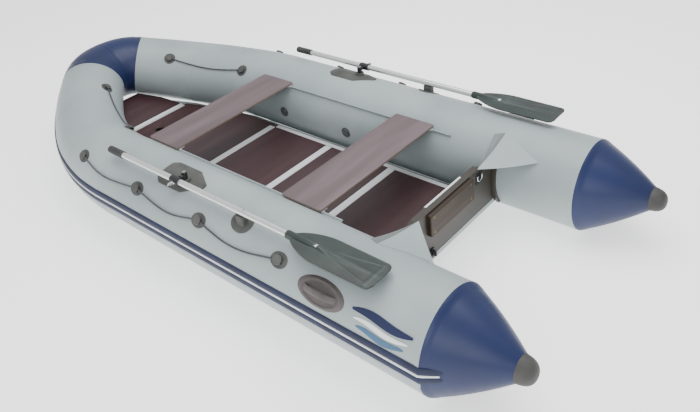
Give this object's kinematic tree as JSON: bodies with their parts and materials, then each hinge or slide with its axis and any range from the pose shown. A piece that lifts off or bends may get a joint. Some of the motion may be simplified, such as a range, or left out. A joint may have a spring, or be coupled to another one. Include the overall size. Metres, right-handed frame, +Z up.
{
  "type": "inflatable dinghy",
  "caption": "Inflatable dinghy with a plywood sectional floor, sliding seats, a motor transom, stowed swinging oars, lifelines, carry handles and a rub strake.",
  "frame": {"origin": "on the ground under the middle of the boat, half way between the bow strake and the cone tips", "axes": "+X aft along the boat, +Y to starboard, +Z up"},
  "size_m": [3.5999, 1.6278, 0.552],
  "materials": {
    "pvc_grey": "satin PVC-coated fabric",
    "pvc_blue": "satin PVC-coated fabric",
    "cap_rubber": "moulded, matt",
    "baffle_cloth": "coated cloth",
    "strake_rubber": "moulded strip, ribbed",
    "bottom_cloth": "coated cloth",
    "keel_cloth": "coated cloth",
    "guard_rubber": "ribbed strip",
    "film_ply": "phenolic film-faced plywood",
    "transom_ply": "dark film-faced plywood",
    "pad_wood": "hardwood, worn edge",
    "screw_brass": "slotted heads",
    "plate_aluminium": "brushed",
    "profile_aluminium": "anodised",
    "fitting_rubber": "moulded, matt",
    "dark_rubber": "moulded, matt",
    "ring_chrome": "polished",
    "pin_steel": "turned",
    "dark_plastic": "moulded",
    "blade_plastic": "moulded, semi-gloss",
    "shaft_aluminium": "anodised tube",
    "valve_plastic": "moulded",
    "rope": "braided line"
  },
  "bodies": {
    "hull": {"starboard_tube": "pvc_grey", "port_tube": "pvc_grey", "bow_nose": "pvc_blue", "stern_cones": "pvc_blue", "cone_end_caps": "cap_rubber", "chamber_baffles": "baffle_cloth", "rub_strakes": "strake_rubber", "bottom_fabric": "bottom_cloth", "keel_tube": "keel_cloth", "keel_guard": "guard_rubber", "transom_board": "transom_ply", "motor_pad": "pad_wood", "motor_pad_screws": "screw_brass", "transom_plate": "plate_aluminium", "transom_holders": "pvc_grey", "transom_gussets": "pvc_grey", "transom_flap": "pvc_grey", "tow_ring_base": "dark_rubber", "drain_body": "dark_plastic", "floorboard_aft": "film_ply", "floorboard_4": "film_ply", "floorboard_3": "film_ply", "floorboard_2": "film_ply", "floorboard_bow": "film_ply", "floor_joint_profiles": "profile_aluminium", "floor_stringers": "profile_aluminium", "seat_rails": "pvc_grey", "rowlock_pads": "fitting_rubber", "rowlock_pins": "pin_steel", "oar_saddles": "fitting_rubber", "lifeline_fittings": "fitting_rubber", "grab_line_eyes": "fitting_rubber", "carry_handles": "fitting_rubber", "air_valves": "valve_plastic", "starboard_lifeline": "rope", "port_lifeline": "rope", "starboard_grab_line": "rope", "port_grab_line": "rope"},
    "front_seat": {"front_seat_board": "film_ply", "front_seat_slides": "profile_aluminium"},
    "rear_seat": {"rear_seat_board": "film_ply", "rear_seat_slides": "profile_aluminium"},
    "tow_ring": {"tow_ring": "ring_chrome"},
    "drain_plug": {"drain_plug": "dark_plastic"},
    "starboard_rowlock": {"starboard_rowlock_swivel": "pin_steel", "starboard_wing_bolt": "pin_steel"},
    "starboard_oar": {"starboard_oar_grip": "dark_plastic", "starboard_oar_shaft": "shaft_aluminium", "starboard_oar_lower_shaft": "shaft_aluminium", "starboard_oar_blade": "blade_plastic", "starboard_oar_collar": "dark_plastic"},
    "starboard_button": {"starboard_oar_button": "pin_steel"},
    "port_rowlock": {"port_rowlock_swivel": "pin_steel", "port_wing_bolt": "pin_steel"},
    "port_oar": {"port_oar_grip": "dark_plastic", "port_oar_shaft": "shaft_aluminium", "port_oar_lower_shaft": "shaft_aluminium", "port_oar_blade": "blade_plastic", "port_oar_collar": "dark_plastic"},
    "port_button": {"port_oar_button": "pin_steel"}
  },
  "joints": [
    {"name": "front_seat_slide", "type": "slide", "parent": "hull", "child": "front_seat", "axis": [1, 0, 0], "range_m": [0, 0.3]},
    {"name": "rear_seat_slide", "type": "slide", "parent": "hull", "child": "rear_seat", "axis": [1, 0, 0], "range_m": [-0.35, 0.09]},
    {"name": "tow_ring_swing", "type": "hinge", "parent": "hull", "child": "tow_ring", "pos_m": [1.0723, 0.24, 0.33], "axis": [0, -1, 0], "range_deg": [0, 120]},
    {"name": "drain_plug_pull", "type": "slide", "parent": "hull", "child": "drain_plug", "axis": [1, 0, 0], "range_m": [0, 0.05]},
    {"name": "starboard_rowlock_swing", "type": "hinge", "parent": "hull", "child": "starboard_rowlock", "pos_m": [0.035, 0.64, 0.468], "axis": [0, 0, 1], "range_deg": [0, 110]},
    {"name": "starboard_oar_tilt", "type": "hinge", "parent": "starboard_rowlock", "child": "starboard_oar", "pos_m": [0.035, 0.69, 0.468], "axis": [0, -1, 0], "range_deg": [0, 2.5]},
    {"name": "starboard_button_press", "type": "slide", "parent": "starboard_oar", "child": "starboard_button", "axis": [0, 0, -1], "range_m": [0, 0.004], "stiffness_N_per_m": 600, "springref_m": -0.002},
    {"name": "port_rowlock_swing", "type": "hinge", "parent": "hull", "child": "port_rowlock", "pos_m": [0.035, -0.64, 0.468], "axis": [0, 0, -1], "range_deg": [0, 110]},
    {"name": "port_oar_tilt", "type": "hinge", "parent": "port_rowlock", "child": "port_oar", "pos_m": [0.035, -0.69, 0.468], "axis": [0, -1, 0], "range_deg": [0, 2.5]},
    {"name": "port_button_press", "type": "slide", "parent": "port_oar", "child": "port_button", "axis": [0, 0, -1], "range_m": [0, 0.004], "stiffness_N_per_m": 600, "springref_m": -0.002}
  ]
}
